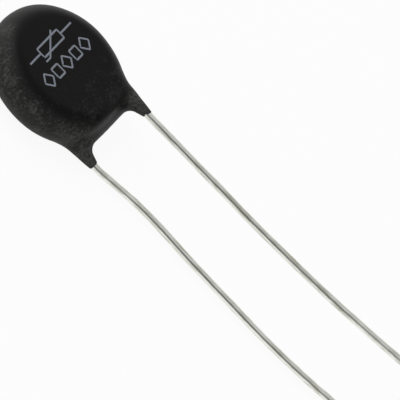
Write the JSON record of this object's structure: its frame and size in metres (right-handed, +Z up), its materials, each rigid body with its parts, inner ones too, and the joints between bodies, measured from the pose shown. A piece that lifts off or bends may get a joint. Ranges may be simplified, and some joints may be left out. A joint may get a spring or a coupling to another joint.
{
  "type": "ntc thermistor",
  "caption": "Disc thermistor in a dipped dark resin coat, whose skirts taper down long, slightly bent tinned wire leads.",
  "frame": {"origin": "middle of the coat's flat rear face, on which the part lies", "axes": "+Z up out of the coat's front face, leads run along -Y, front lead on the +X side"},
  "size_m": [0.015, 0.0545, 0.0045],
  "materials": {
    "dipped_resin": "dull near-black dipped resin with a fine grey bloom",
    "sintered_oxide": "matt dark grey sintered metal oxide",
    "silver_film": "matt fired silver film",
    "solder": "soft grey solder",
    "tinned_wire": "dull tin plating, lightly handled"
  },
  "bodies": {
    "root": {"coating": "dipped_resin", "ntc_disc": "sintered_oxide", "front_electrode": "silver_film", "rear_electrode": "silver_film", "front_solder": "solder", "rear_solder": "solder", "front_lead": "tinned_wire", "rear_lead": "tinned_wire"}
  },
  "joints": []
}
